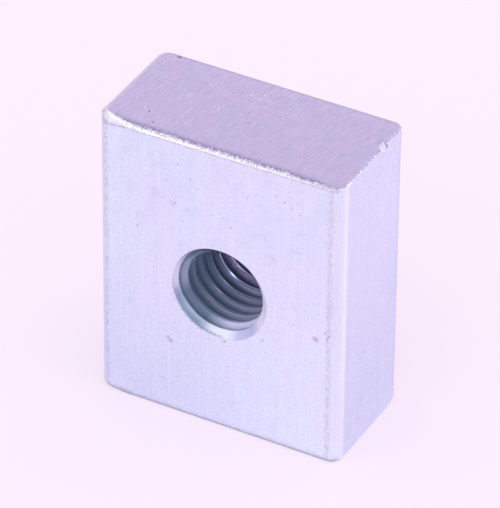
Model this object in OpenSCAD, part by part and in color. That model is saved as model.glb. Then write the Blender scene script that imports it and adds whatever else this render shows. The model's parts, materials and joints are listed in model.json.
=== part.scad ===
// Rectangular block nut, cut from drawn flat steel bar and zinc plated.
// It stands on one sawn end. X runs across the front face, Y from front to back, Z up.
// The origin is on the base, under the middle of the block.

/* [Block] */
// Width of the bar, across the front face
block_w = 32; // [26:0.5:60]
// Thickness of the bar, from front to back
block_d = 15.5; // [10:0.5:40]
// Height between the two sawn ends
block_h = 39; // [28:0.5:80]
// Radius of the drawn bar's four long edges
edge_r = 1.4; // [0.8:0.1:3]

/* [Sawn ends] */
// Bevel around both sawn ends, where the burr was tumbled off
end_bevel = 0.2; // [0.1:0.05:0.5]
// Bevel filed along the top front edge, at its left end
filed_left = 0.6; // [0.6:0.05:1.2]
// Bevel filed along the top front edge, at its right end
filed_right = 0.3; // [0.1:0.05:0.5]

/* [Thread] */
// Nominal diameter of the thread
thread_d = 12; // [8:1:16]
// Pitch of the thread
thread_pitch = 1.75; // [1:0.25:2]
// How far the thread's axis lies right of the middle of the block
thread_right = 0.25; // [-2:0.05:2]
// How far the thread's axis lies below the middle of the block
thread_drop = 0.45; // [-2:0.05:2]
// How much wider the countersinks' mouths are than the thread
sink_over = 0.4; // [0.2:0.1:1]
// Included angle of the countersinks
sink_angle = 90; // [80:5:120]

/* [Hidden] */
$fn = 96;

// Angle of a bevel that takes as much off both faces
bevel_angle = 45;
// How far a cutting shape runs past the face that it cuts
overcut = 1;

// The bore is drilled to the thread's minor diameter: five eighths of the sharp
// triangle's height is left standing on each side
sharp_height = thread_pitch * sqrt(3) / 2;
bore_r = thread_d / 2 - sharp_height * 5 / 8;
bore_x = thread_right;
bore_z = block_h / 2 - thread_drop;

sink_r = (thread_d + sink_over) / 2;
sink_slope = tan(sink_angle / 2);
sink_depth = (sink_r - bore_r) / sink_slope;

// The filed bevel narrows evenly from left to right, so it is one tilted plane
filed_middle = (filed_left + filed_right) / 2;
filed_taper = (filed_right - filed_left) / block_w;
filed_tilt = atan(filed_taper / sqrt(2));
filed_cutter = block_w + block_d;

plated_steel = "#CFD2E0";

// Upright section of the bar, as wide as span, with the edges of both sawn ends bevelled
module upright_section(span) {
    half = span / 2;
    inner = half - end_bevel;
    polygon([
        [-inner, 0],
        [inner, 0],
        [half, end_bevel],
        [half, block_h - end_bevel],
        [inner, block_h],
        [-inner, block_h],
        [-half, block_h - end_bevel],
        [-half, end_bevel],
    ]);
}

// One rounded long edge of the bar, as a round post with bevelled ends
module edge_post() {
    rotate_extrude()
        intersection() {
            upright_section(2 * edge_r);
            square([edge_r, block_h]);
        }
}

// A length of the bar: two crossed slabs with a post in each corner
module bar_length() {
    rotate([90, 0, 0])
        linear_extrude(block_d - 2 * edge_r, center = true)
            upright_section(block_w);
    rotate([90, 0, 90])
        linear_extrude(block_w - 2 * edge_r, center = true)
            upright_section(block_d);
    for (x = [-1, 1], y = [-1, 1])
        translate([x * (block_w / 2 - edge_r), y * (block_d / 2 - edge_r), 0])
            edge_post();
}

// What the file took off along the top front edge
module filed_edge() {
    translate([0, -block_d / 2, block_h - filed_middle])
        rotate([bevel_angle, 0, 0])
            rotate([0, filed_tilt, 0])
                translate([-filed_cutter / 2, -filed_cutter / 2, 0])
                    cube(filed_cutter);
}

// The drilled hole with a countersink at each mouth, along Y
module tapped_hole() {
    face = block_d / 2;
    wall_end = face - sink_depth;
    past = face + overcut;
    past_r = sink_r + overcut * sink_slope;
    translate([bore_x, 0, bore_z])
        rotate([90, 0, 0])
            rotate_extrude()
                polygon([
                    [0, -past],
                    [past_r, -past],
                    [bore_r, -wall_end],
                    [bore_r, wall_end],
                    [past_r, past],
                    [0, past],
                ]);
}

module nut_block() {
    color(plated_steel)
        difference() {
            bar_length();
            filed_edge();
            tapped_hole();
        }
}

nut_block();
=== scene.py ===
import json
import math
from collections import namedtuple

import bmesh
import bpy
from mathutils import Matrix, Vector, geometry, noise


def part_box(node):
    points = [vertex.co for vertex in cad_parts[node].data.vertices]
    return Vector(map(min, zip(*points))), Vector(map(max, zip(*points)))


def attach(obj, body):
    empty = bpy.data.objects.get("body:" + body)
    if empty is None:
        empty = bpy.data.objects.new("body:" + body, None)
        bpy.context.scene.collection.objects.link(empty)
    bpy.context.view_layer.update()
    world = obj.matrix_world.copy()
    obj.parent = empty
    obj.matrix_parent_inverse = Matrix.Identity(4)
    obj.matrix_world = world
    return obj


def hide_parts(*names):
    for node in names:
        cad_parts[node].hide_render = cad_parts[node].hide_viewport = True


# Rectangular block nut of zinc-plated steel, standing on a pale studio floor

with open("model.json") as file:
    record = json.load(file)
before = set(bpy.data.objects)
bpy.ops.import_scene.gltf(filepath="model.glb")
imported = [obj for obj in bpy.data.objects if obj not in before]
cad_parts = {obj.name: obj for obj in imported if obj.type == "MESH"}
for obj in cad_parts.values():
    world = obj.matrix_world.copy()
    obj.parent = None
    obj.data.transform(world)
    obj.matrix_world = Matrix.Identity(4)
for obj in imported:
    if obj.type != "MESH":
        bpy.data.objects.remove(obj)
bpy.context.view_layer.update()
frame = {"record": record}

MM = 0.001
NODE = "nut_block"
PIECE = "nut_block_plated"

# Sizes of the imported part, in millimetres
block_low, block_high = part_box(NODE)
LEFT, RIGHT = block_low.x / MM, block_high.x / MM
FRONT, BACK = block_low.y / MM, block_high.y / MM
WIDTH, DEPTH, HEIGHT = RIGHT - LEFT, BACK - FRONT, block_high.z / MM
thread_mount = next(m for m in frame["record"]["mounts"] if m["name"] == "thread")
BORE_X = thread_mount["pos_m"][0] / MM
BORE_Z = thread_mount["pos_m"][2] / MM
MINOR_R = thread_mount["dims"]["r_mm"]
SINK_DEPTH = (DEPTH - thread_mount["dims"]["length_mm"]) / 2

# The drawn bar's long edges
EDGE_R = 1.4

# The tapped hole: a coarse metric thread between two countersinks
PITCH = 1.75
SHARP_HEIGHT = PITCH * math.sqrt(3) / 2
MAJOR_R = MINOR_R + SHARP_HEIGHT * 5 / 8
SINK_ANGLE = 90
SINK_SLOPE = math.tan(math.radians(SINK_ANGLE / 2))
SINK_R = MINOR_R + SINK_DEPTH * SINK_SLOPE
# Where round the hole the thread starts, as a share of a turn, and how far its corners are rounded
THREAD_START = -0.06
THREAD_SOFTNESS = 0.14

# Spacing of the mesh, in millimetres: fine along the worn edges, coarse on the flat faces
EDGE_STEP = 0.12
FACE_STEP = 1.3
# Counts of the mesh: rows up a wall, steps round a long edge, steps round the hole, rows through it
WALL_ROWS = 30
CORNER_STEPS = 16
HOLE_SEGMENTS = 192
HOLE_ROWS = 320
# Points closer than this are one: in an outline, on the hole's wall and where the pieces of skin meet
SAME_POINT = 1e-7
HOLE_MERGE = 0.001
SEAM_MERGE = 0.002
# Faces that meet at a larger angle than this, in degrees, show a crease
CREASE = 28

# Node kinds that are used often
MATH = "ShaderNodeMath"
VECTOR_MATH = "ShaderNodeVectorMath"
NOISE = "ShaderNodeTexNoise"
RANGE = "ShaderNodeMapRange"
MIX = "ShaderNodeMix"
SPLIT = "ShaderNodeSeparateXYZ"
STORED = "ShaderNodeAttribute"

# Sockets of the Mix node when it mixes colours
FACTOR, COLOUR_A, COLOUR_B, MIXED = 0, 6, 7, 2

Station = namedtuple("Station", "x y out_x out_y wall along")
Plate = namedtuple("Plate", "material tree shader spot place")


def srgb(code):
    """Linear colour of an sRGB hex value."""
    parts = [int(code[i:i + 2], 16) / 255 for i in (1, 3, 5)]
    return [c / 12.92 if c <= 0.04045 else ((c + 0.055) / 1.055) ** 2.4 for c in parts] + [1.0]


def add(tree, kind, inputs=(), out=0, **settings):
    """Adds a node with its settings, sets or links its inputs, and returns one of its outputs."""
    made = tree.nodes.new(kind)
    for name, value in settings.items():
        setattr(made, name, value)
    for key, value in inputs.items() if isinstance(inputs, dict) else enumerate(inputs):
        if isinstance(value, bpy.types.NodeSocket):
            tree.links.new(value, made.inputs[key])
        else:
            made.inputs[key].default_value = value
    return made.outputs[out] if made.outputs else made


# Wander along the edges: each kind reads the noise along a lane of its own

LANE_GAP = 7.3
LANE_DEPTH = 0.5


def ripple(along, length, lane):
    """Smooth wander between -1 and 1 along an edge, with bumps about length long."""
    return noise.noise(Vector((along / length, lane * LANE_GAP, LANE_DEPTH)))


def jitter(along, lane):
    """Random value between -1 and 1 for each step along an edge."""
    return noise.cell(Vector((along / EDGE_STEP, lane * LANE_GAP, LANE_DEPTH)))


def between(ends, x):
    """Value at x, from the values at the block's left and right ends."""
    return ends[0] + (ends[1] - ends[0]) * (x - LEFT) / WIDTH


# The block's outline, walked round from the front's left end, seen from above

def outline():
    """Stations round the rounded rectangle, and the first and last station of each flat wall."""
    half_w, half_d = WIDTH / 2 - EDGE_R, DEPTH / 2 - EDGE_R
    corners = [(half_w, -half_d), (half_w, half_d), (-half_w, half_d), (-half_w, -half_d)]
    stations, spans = [], {}
    along = 0.0
    for k, wall in enumerate(("front", "right", "back", "left")):
        turn = math.radians(90 * k - 90)
        out = Vector((math.cos(turn), math.sin(turn)))
        start = Vector(corners[k - 1]) + out * EDGE_R
        end = Vector(corners[k]) + out * EDGE_R
        length = (end - start).length
        steps = round(length / EDGE_STEP)
        first = len(stations)
        for i in range(steps + 1):
            p = start.lerp(end, i / steps)
            stations.append(Station(p.x, p.y, out.x, out.y, wall, along + length * i / steps))
        spans[wall] = (first, len(stations) - 1)
        along += length
        for i in range(1, CORNER_STEPS):
            bend = math.pi / 2 * i / CORNER_STEPS
            out = Vector((math.cos(turn + bend), math.sin(turn + bend)))
            p = Vector(corners[k]) + out * EDGE_R
            stations.append(Station(p.x, p.y, out.x, out.y, "corner", along + EDGE_R * bend))
        along += EDGE_R * math.pi / 2
    return stations, spans


# How the sawn ends' edges are worn: a bevel, then a roll-over into the flat end

# The filed bevel along the top front edge, at the left and right ends: how far in and down it reaches, and
# how far down the flat top rolls over to it
BEVEL_INSET = (0.31, 0.09)
BEVEL_DROP = (0.68, 0.42)
BEVEL_LIP = (0.15, 0.10)
BEVEL_LEAST = 0.04
# How much its width and depth wander, in long and short bumps
BEVEL_WANDER = 0.14
DROP_WANDER = 0.3
LONG_BUMP = 1.7
SHORT_BUMP = 0.45
# How much wider the bevel gets towards the left corner, and how far from there that begins
FLARE_INSET = 0.75
FLARE_DROP = 0.36
FLARE_LENGTH = 3.2
# How far round the left corner the bevel is as deep, in degrees, and how far back along the left side it
# begins to narrow and ends
FLARE_BEND = 66
FLARE_BACK = (0.4, 2.4)
# How steeply the bevel fades round the right corner
RIGHT_FADE = 1.5
# The roll-over: its length, and how far from the ends it shortens to its least share
ROLL_LENGTH = 0.9
ROLL_FADE = 4
ROLL_LEAST = 0.25
# How raggedly the bevel's upper line is torn, in single steps and in bumps
RAGGED = 0.09
RAGGED_STEP = 0.35
RAGGED_BUMP = 0.55
# The other top edges: tumbled, rubbed and chipped along the right, with one nick there
TUMBLED = 0.12
TUMBLED_RIGHT = 0.05
TUMBLED_LIP = 0.02
TUMBLED_ROLL = 0.15
RUBBED = 0.06
RUBBED_LENGTH = 4.5
CHIPPED = 0.5
CHIP_LEVEL = 0.12
CHIP_WANDER = 1.2
CHIP_BUMP = 1.1
NICK_Y = 2.55
NICK_REACH = 1.0
NICK_INSET = 0.55
NICK_DROP = 0.50
NICK_BUMP = 0.35
# The foot's radius, and its wander: share of the radius, length of the bumps and lane
FOOT_R = 0.16
FOOT_WANDER = [(0.2, 2.5, 8), (0.1, 0.6, 9)]
# Corners of the foot that are worn rounder: x, y and how much is added to the radius there, and how far
# from the corner that ends
FOOT_CORNERS = [(LEFT, FRONT, 0.9), (RIGHT, BACK, 0.8)]
FOOT_CORNER_REACH = 3.2
# Rings of points across each of them
BEVEL_RINGS = 3
ROLL_RINGS = 6
FOOT_RINGS = 6


def frontness(st):
    """1 on the front wall, falling to 0 round the two front corners."""
    if st.wall == "front":
        return 1.0
    if st.wall == "corner" and st.out_y < 0:
        bend = math.degrees(math.atan2(abs(st.out_x), -st.out_y))
        return max(0.0, 1 - bend / FLARE_BEND) if st.x < 0 else (1 - bend / 90) ** RIGHT_FADE
    return 0.0


def filed_share(st):
    """How much of the bevel's width is left: all on the front wall, none far back along the left side."""
    if st.x > 0:
        return frontness(st)
    narrow_from, end = FLARE_BACK
    return min(1.0, max(0.0, (end - (st.y - FRONT)) / (end - narrow_from)))


def bevel_size(st):
    """Inset and drop of the bevel along the top edges."""
    front = frontness(st)
    right = max(0.0, st.out_x)
    wide = filed_share(st)
    flare = min(1.0, max(0.0, 1 - (st.x - LEFT - EDGE_R) / FLARE_LENGTH)) ** 2
    uneven = 1 + BEVEL_WANDER * (ripple(st.along, LONG_BUMP, 1) + ripple(st.along, SHORT_BUMP, 2))
    filed_inset = between(BEVEL_INSET, st.x) * uneven + FLARE_INSET * flare
    filed_drop = between(BEVEL_DROP, st.x) + FLARE_DROP * flare
    filed_drop *= 1 + DROP_WANDER * (uneven - 1)

    rubbed = RUBBED * max(0.0, 1 - (st.y - FRONT) / RUBBED_LENGTH)
    chip = CHIPPED * max(0.0, ripple(st.along, SHORT_BUMP, 5) - CHIP_LEVEL)
    chip *= 1 + CHIP_WANDER * ripple(st.along, CHIP_BUMP, 6)
    tumbled = TUMBLED + right * (TUMBLED_RIGHT - TUMBLED + rubbed + chip)
    nick = max(0.0, 1 - ((st.y - NICK_Y) / NICK_REACH) ** 2) if st.wall == "right" else 0.0
    nick *= 1 + CHIP_WANDER * ripple(st.along, NICK_BUMP, 10)
    inset = wide * filed_inset + (1 - wide) * (tumbled + NICK_INSET * nick)
    drop = front * filed_drop + (1 - front) * (tumbled + NICK_DROP * nick)
    return inset, drop


def top_edge(st):
    """(inset, drop) pairs from the wall up over the bevel and the roll-over to the flat top."""
    front = frontness(st)
    bevel, drop = bevel_size(st)
    lip = front * between(BEVEL_LIP, st.x) + (1 - front) * TUMBLED_LIP
    fade = min(1.0, (st.x - LEFT) / ROLL_FADE, (RIGHT - st.x) / ROLL_FADE)
    roll = front * ROLL_LENGTH * max(ROLL_LEAST, fade) + (1 - front) * TUMBLED_ROLL

    def rolled(inset):
        return lip * max(0.0, 1 - (inset - bevel) / roll) ** 2

    torn = front * RAGGED * (RAGGED_STEP * jitter(st.along, 3) + ripple(st.along, RAGGED_BUMP, 4))
    edge = max(BEVEL_LEAST, bevel + torn)
    pairs = []
    for i in range(BEVEL_RINGS):
        t = i / BEVEL_RINGS
        pairs.append((bevel * t, drop + (rolled(bevel) - drop) * t))
    pairs.append((edge, rolled(edge)))
    for i in range(1, ROLL_RINGS + 1):
        inset = edge + (bevel + roll - edge) * i / ROLL_RINGS
        pairs.append((inset, rolled(inset)))
    return pairs


def foot_edge(st):
    """(inset, height) pairs of the tumbled edge round the base, from the base up to the wall."""
    r = FOOT_R * (1 + sum(share * ripple(st.along, bump, lane) for share, bump, lane in FOOT_WANDER))
    for x, y, added in FOOT_CORNERS:
        from_corner = math.hypot(st.x - x, st.y - y)
        r += added * max(0.0, 1 - from_corner / FOOT_CORNER_REACH)
    angles = [math.pi / 2 * i / FOOT_RINGS for i in range(FOOT_RINGS + 1)]
    return [(r * (1 - math.sin(a)), r * (1 - math.cos(a))) for a in angles]


# Building the block's skin

DRAWN, SAWN, FILED, TAPPED = range(4)


def filled_face(bm, rim, place, finish, worn, bore_u=None):
    """Fills a flat outline with even triangles, round the hole's mouth when it has one at bore_u.
    place turns (u, v) into a point."""
    worn_layer = bm.verts.layers.float["worn"]
    points = [Vector(p) for p in rim]
    edges = [(i, (i + 1) % len(rim)) for i in range(len(rim))]
    low = Vector((min(p.x for p in points), min(p.y for p in points)))
    high = Vector((max(p.x for p in points), max(p.y for p in points)))
    bore = None
    if bore_u is not None:
        bore = Vector((bore_u, BORE_Z))
        first = len(points)
        for i in range(HOLE_SEGMENTS):
            angle = 2 * math.pi * i / HOLE_SEGMENTS
            points.append(bore + Vector((math.cos(angle), math.sin(angle))) * SINK_R)
            edges.append((first + i, first + (i + 1) % HOLE_SEGMENTS))
    for i in range(1, round((high.x - low.x) / FACE_STEP)):
        for j in range(1, round((high.y - low.y) / FACE_STEP)):
            p = low + Vector((i + (j % 2) / 2, j)) * FACE_STEP
            clear = min(*(p - low), *(high - p)) > FACE_STEP
            if clear and (bore is None or (p - bore).length > SINK_R + FACE_STEP / 2):
                points.append(p)
    inside_the_edges = 1
    made = geometry.delaunay_2d_cdt(points, edges, [], inside_the_edges, SAME_POINT)
    verts = [bm.verts.new(place(p)) for p in made[0]]
    for vert in verts:
        vert[worn_layer] = worn
    for triangle in made[2]:
        middle = sum((made[0][i] for i in triangle), Vector((0, 0))) / 3
        if bore is None or (middle - bore).length > SINK_R:
            face = bm.faces.new([verts[i] for i in triangle])
            face.material_index = finish


# For each wall, how far along it a point lies, and the point at (u, v) on it
ALONG_WALL = {
    "front": lambda p: p.x,
    "right": lambda p: p.y,
    "back": lambda p: -p.x,
    "left": lambda p: -p.y,
}
ON_WALL = {
    "front": lambda p: Vector((p.x, FRONT, p.y)),
    "right": lambda p: Vector((RIGHT, p.x, p.y)),
    "back": lambda p: Vector((-p.x, BACK, p.y)),
    "left": lambda p: Vector((LEFT, -p.x, p.y)),
}
BORE_ALONG = {"front": BORE_X, "back": -BORE_X}


def ring(stations, pairs, index, from_top):
    """The points at one place across an edge, all the way round."""
    points = []
    for st, across in zip(stations, pairs):
        inset, rise = across[index]
        z = HEIGHT - rise if from_top else rise
        points.append(Vector((st.x - st.out_x * inset, st.y - st.out_y * inset, z)))
    return points


def band(bm, lower, upper, finish, worn, picked):
    """Quads between two rings, at the picked stations. worn is how far each ring is across its edge."""
    worn_layer = bm.verts.layers.float["worn"]
    for i in picked:
        j = (i + 1) % len(lower)
        corners = [bm.verts.new(p) for p in (lower[i], lower[j], upper[j], upper[i])]
        for vert, share in zip(corners, (worn[0], worn[0], worn[1], worn[1])):
            vert[worn_layer] = share
        face = bm.faces.new(corners)
        face.material_index = finish


def block_skin():
    """The block's outside, open at the two mouths of the hole, in millimetres."""
    stations, spans = outline()
    everywhere = range(len(stations))
    tops = [top_edge(st) for st in stations]
    feet = [foot_edge(st) for st in stations]
    foot_rings = [ring(stations, feet, i, False) for i in range(FOOT_RINGS + 1)]
    top_rings = [ring(stations, tops, i, True) for i in range(BEVEL_RINGS + ROLL_RINGS + 1)]

    bm = bmesh.new()
    bm.verts.layers.float.new("worn")
    for k in range(FOOT_RINGS):
        worn = (2 - 2 * k / FOOT_RINGS, 2 - 2 * (k + 1) / FOOT_RINGS)
        band(bm, foot_rings[k], foot_rings[k + 1], FILED, worn, everywhere)
    for k in range(BEVEL_RINGS):
        worn = (k / BEVEL_RINGS, (k + 1) / BEVEL_RINGS)
        band(bm, top_rings[k], top_rings[k + 1], FILED, worn, everywhere)
    for k in range(ROLL_RINGS):
        worn = (1 + k / ROLL_RINGS, 1 + (k + 1) / ROLL_RINGS)
        band(bm, top_rings[BEVEL_RINGS + k], top_rings[BEVEL_RINGS + k + 1], SAWN, worn, everywhere)

    walls = []
    for k in range(WALL_ROWS + 1):
        walls.append([low.lerp(high, k / WALL_ROWS) for low, high in zip(foot_rings[-1], top_rings[0])])
    flat = {i for first, last in spans.values() for i in range(first, last)}
    for lower, upper in zip(walls, walls[1:]):
        band(bm, lower, upper, DRAWN, (0, 0), [i for i in everywhere if i not in flat])

    for wall, (first, last) in spans.items():
        rim = [walls[0][i] for i in range(first, last)]
        rim += [walls[k][last] for k in range(WALL_ROWS)]
        rim += [walls[-1][i] for i in range(last, first, -1)]
        rim += [walls[k][first] for k in range(WALL_ROWS, 0, -1)]
        flat_rim = [(ALONG_WALL[wall](p), p.z) for p in rim]
        filled_face(bm, flat_rim, ON_WALL[wall], DRAWN, 0, BORE_ALONG.get(wall))
    top_rim = [(p.x, p.y) for p in top_rings[-1]]
    filled_face(bm, top_rim, lambda p: Vector((p.x, p.y, HEIGHT)), SAWN, 2)
    base_rim = [(p.x, -p.y) for p in reversed(foot_rings[0])]
    filled_face(bm, base_rim, lambda p: Vector((p.x, -p.y, 0)), SAWN, 2)
    return bm


# The tapped hole, made by a rule: its radius at each turn and depth

HOLE_SIZES = {
    "Depth": DEPTH * MM,
    "Minor radius": MINOR_R * MM,
    "Major radius": MAJOR_R * MM,
    "Pitch": PITCH * MM,
    "Mouth radius": SINK_R * MM,
    "Mouth slope": SINK_SLOPE,
    "Softness": THREAD_SOFTNESS * MM,
    "Start": THREAD_START,
}
HOLE_COUNTS = {"Segments": HOLE_SEGMENTS, "Rows": HOLE_ROWS}
HOLE_CENTRE = (BORE_X * MM, (FRONT + BACK) / 2 * MM, BORE_Z * MM)


def tapped_hole_tree():
    """Node tree of the hole's wall: a thread cut into a bore, with a countersink at each mouth. It stores how
    deep a countersink cut at each point, how near the point is to a crest, and which flank it lies on."""
    tree = bpy.data.node_groups.new("tapped_hole", "GeometryNodeTree")
    sockets = [(name, "NodeSocketFloat") for name in HOLE_SIZES]
    sockets += [(name, "NodeSocketInt") for name in HOLE_COUNTS]
    sockets += [("Centre", "NodeSocketVector"), ("Finish", "NodeSocketMaterial")]
    for name, kind in sockets:
        tree.interface.new_socket(name, in_out="INPUT", socket_type=kind)
    tree.interface.new_socket("Geometry", in_out="OUTPUT", socket_type="NodeSocketGeometry")
    given = add(tree, "NodeGroupInput").node.outputs
    depth, pitch, softness = given["Depth"], given["Pitch"], given["Softness"]
    minor, major = given["Minor radius"], given["Major radius"]

    columns = add(tree, MATH, (given["Segments"], 1.0), operation="ADD")
    rows = add(tree, MATH, (given["Rows"], 1.0), operation="ADD")
    sheet = {"Size X": 1.0, "Size Y": 1.0, "Vertices X": columns, "Vertices Y": rows}
    grid = add(tree, "GeometryNodeMeshGrid", sheet)
    turn = add(tree, SPLIT, [add(tree, "GeometryNodeInputPosition")])
    along = add(tree, MATH, (turn.node.outputs["Y"], depth), operation="MULTIPLY")

    # A left-hand thread: going in, the groove turns anticlockwise as seen from the front
    turns_in = add(tree, MATH, (along, pitch), operation="DIVIDE")
    turned = add(tree, MATH, (turns_in, turn), operation="SUBTRACT")
    started = add(tree, MATH, (turned, given["Start"]), operation="ADD")
    phase = add(tree, MATH, [started], operation="FRACT")
    off_middle = add(tree, MATH, (phase, 0.5), operation="SUBTRACT")
    off_share = add(tree, MATH, [off_middle], operation="ABSOLUTE")
    off_groove = add(tree, MATH, (off_share, pitch), operation="MULTIPLY")
    # The groove's flat bottom is an eighth of the pitch wide, and its flanks stand at 60 degrees
    half_flat = add(tree, MATH, (pitch, 16.0), operation="DIVIDE")
    off_flat = add(tree, MATH, (half_flat, off_groove), operation="SUBTRACT")
    flank = add(tree, MATH, (off_flat, math.sqrt(3), major), operation="MULTIPLY_ADD")
    root = add(tree, MATH, (flank, major, softness), operation="SMOOTH_MIN")
    thread = add(tree, MATH, (root, minor, softness), operation="SMOOTH_MAX")

    half_depth = add(tree, MATH, (depth, 2.0), operation="DIVIDE")
    off_centre = add(tree, MATH, [along], operation="ABSOLUTE")
    from_mouth = add(tree, MATH, (half_depth, off_centre), operation="SUBTRACT")
    narrowed = add(tree, MATH, (from_mouth, given["Mouth slope"]), operation="MULTIPLY")
    mouth = add(tree, MATH, (given["Mouth radius"], narrowed), operation="SUBTRACT")
    radius = add(tree, MATH, (thread, mouth), operation="MAXIMUM")

    angle = add(tree, MATH, (turn, 2 * math.pi), operation="MULTIPLY")
    cosine = add(tree, MATH, [angle], operation="COSINE")
    sine = add(tree, MATH, [angle], operation="SINE")
    x = add(tree, MATH, (radius, cosine), operation="MULTIPLY")
    z = add(tree, MATH, (radius, sine), operation="MULTIPLY")
    place = add(tree, "ShaderNodeCombineXYZ", (x, along, z))
    centred = add(tree, VECTOR_MATH, (place, given["Centre"]), operation="ADD")

    cut_away = add(tree, MATH, (mouth, thread), operation="SUBTRACT")
    stored = {
        "sink_cut": add(tree, MATH, (cut_away, 1 / MM), operation="MULTIPLY"),
        "to_crest": add(tree, MATH, (off_share, 2.0), operation="MULTIPLY"),
        "inward_flank": add(tree, MATH, (off_middle, -2.0), operation="MULTIPLY"),
    }
    marked = grid
    for name, value in stored.items():
        inputs = {"Geometry": marked, "Name": name, "Value": value}
        marked = add(tree, "GeometryNodeStoreNamedAttribute", inputs, data_type="FLOAT")
    shaped = add(tree, "GeometryNodeSetPosition", {"Geometry": marked, "Position": centred})
    closed = add(tree, "GeometryNodeMergeByDistance", {"Geometry": shaped, "Distance": HOLE_MERGE * MM})
    real = add(tree, "GeometryNodeRealizeInstances", [closed])
    dressed = add(tree, "GeometryNodeSetMaterial", {"Geometry": real, "Material": given["Finish"]})
    add(tree, "NodeGroupOutput", [dressed])
    return tree


def tapped_hole_mesh(finish):
    """The hole's wall as a plain mesh, in metres."""
    tree = tapped_hole_tree()
    carrier = bpy.data.objects.new("tapped_hole", bpy.data.meshes.new("tapped_hole"))
    bpy.context.scene.collection.objects.link(carrier)
    modifier = carrier.modifiers.new("tapped_hole", "NODES")
    modifier.node_group = tree
    values = {**HOLE_SIZES, **HOLE_COUNTS, "Centre": HOLE_CENTRE, "Finish": finish}
    for item in tree.interface.items_tree:
        if item.in_out == "INPUT":
            modifier[item.identifier] = values[item.name]
    shown = carrier.evaluated_get(bpy.context.evaluated_depsgraph_get())
    mesh = bpy.data.meshes.new_from_object(shown)
    bpy.data.objects.remove(carrier)
    return mesh


def nut_piece(finishes):
    """The whole nut: the block's skin sewn to the wall of the tapped hole."""
    bm = block_skin()
    bmesh.ops.scale(bm, vec=(MM, MM, MM), verts=bm.verts)
    skin_faces = set(bm.faces)
    bm.from_mesh(tapped_hole_mesh(finishes[TAPPED]))
    for face in bm.faces:
        if face not in skin_faces:
            face.material_index = TAPPED
        face.smooth = True
    bmesh.ops.remove_doubles(bm, verts=bm.verts, dist=SEAM_MERGE * MM)
    bmesh.ops.recalc_face_normals(bm, faces=bm.faces)
    for edge in bm.edges:
        pair = edge.link_faces
        same = len(pair) == 2 and pair[0].material_index == pair[1].material_index
        edge.smooth = same and edge.calc_face_angle() < math.radians(CREASE)
    mesh = bpy.data.meshes.new(PIECE)
    bm.to_mesh(mesh)
    bm.free()
    for finish in finishes:
        mesh.materials.append(finish)
    piece = bpy.data.objects.new(PIECE, mesh)
    bpy.context.scene.collection.objects.link(piece)
    return piece


# Finishes: one bright blue-passivated zinc plate over steel that was made in four ways

# Real grain, pits, drawing lines and tooth marks are finer than a pixel, so they are drawn as coarse as they
# need to show. Sizes of patterns are in millimetres, and so are the places where a mark begins and is full.

# The drawn faces
ZINC_BLUE = "#E1EBFD"
ZINC_LILAC = "#E8E9FD"
ZINC_AQUA = "#E2F2FD"
ZINC_ROSE = "#E7E5FB"
# Haze in clusters, and painted shade at the lower left of the front
ZINC_HAZE_AND_SHADE = "#D6E0F8"
ZINC_SIDE = "#E1E4FD"
# Painted shade low on the right side; the same blue on the nick
ZINC_SIDE_SHADE_AND_NICK = "#CFD5F2"
# Painted highlight along the burnished crest of the right front edge
ZINC_CREST_HIGHLIGHT = "#F4F7FE"
# The sawn ends and the filed edges
SAWN_BLUE = "#DEE1FA"
SAWN_PINK = "#E6E0F8"
# Bright filed zinc, also the colour of the painted highlights at the bottom of the hole's mouth
ZINC_BRIGHT = "#F6F6FB"
ZINC_FLECK = "#F2F2FF"
BEVEL_HAZE = "#D8D2E6"
# Grey of burr and specks, also the painted shade over the strip of burr
BURR_AND_SHADE_GREY = "#A6A2C4"
# Wear and dirt, and the painted shade at the foot and along the left front edge
MARK_AND_SHADE_BLUE = "#9C9DC4"
SPECK_DARK = "#5A5870"
STAIN_BROWN = "#A8979F"
SCUFF_ROSE = "#DCC8D8"
FOOT_SHADE_GREY = "#B4B8CC"
RUST_BROWN = "#8C6B4E"
# The countersinks and the thread, with the colours of their painted light, highlights and shade
SINK_LILAC = "#C8CCE6"
SINK_PAINTED_LIGHT = "#F0EAFF"
SINK_BLUE = "#B2B4E4"
SINK_GREEN = "#98ABC4"
SINK_RIM = "#7A91AD"
LIP_SHADE = "#2E3652"
MOUTH_LIT_LILAC = "#DAD8FF"
THREAD_PAINTED_LIGHT = "#88A5C3"
THREAD_GREY = "#5A7590"
THREAD_CREST_PAINTED_LIGHT = "#727894"
THREAD_LIT_LILAC = "#9AA0C2"
THREAD_VIOLET = "#625E84"
THREAD_STREAK_HIGHLIGHT = "#C4B8E4"

# Marks on the front face: x, z and radius
DARK_SPECKS = [
    (7.56, 35.44, 0.12), (8.60, 34.97, 0.13), (9.64, 34.49, 0.13), (10.68, 33.88, 0.11),
    (10.27, 35.40, 0.11), (0.93, 12.53, 0.16), (14.13, 18.46, 0.15), (14.59, 18.20, 0.14),
    (14.45, 17.68, 0.16), (10.01, 18.12, 0.11), (-3.66, 33.99, 0.13), (-2.74, 32.90, 0.11),
    (1.62, 29.07, 0.13), (-12.66, 33.88, 0.10), (3.81, 34.02, 0.10), (-6.03, 29.67, 0.12),
    (-6.30, 30.14, 0.10), (-5.72, 29.90, 0.10), (-8.59, 19.96, 0.11), (-5.37, 35.50, 0.11),
    (-2.48, 34.67, 0.10), (0.70, 30.02, 0.09), (-10.71, 25.08, 0.10),
]
BROWN_SPOTS = [(-6.62, 10.48, 0.28), (-6.32, 10.06, 0.38), (5.97, 14.50, 0.22), (12.92, 17.18, 0.45)]
SMUDGES = [
    (-5.95, 29.85, 0.55), (-8.16, 30.63, 1.00), (-4.05, 29.37, 0.60),
    (-11.86, 14.03, 0.60), (-8.94, 35.69, 0.50), (4.84, 34.65, 0.40),
]

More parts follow.
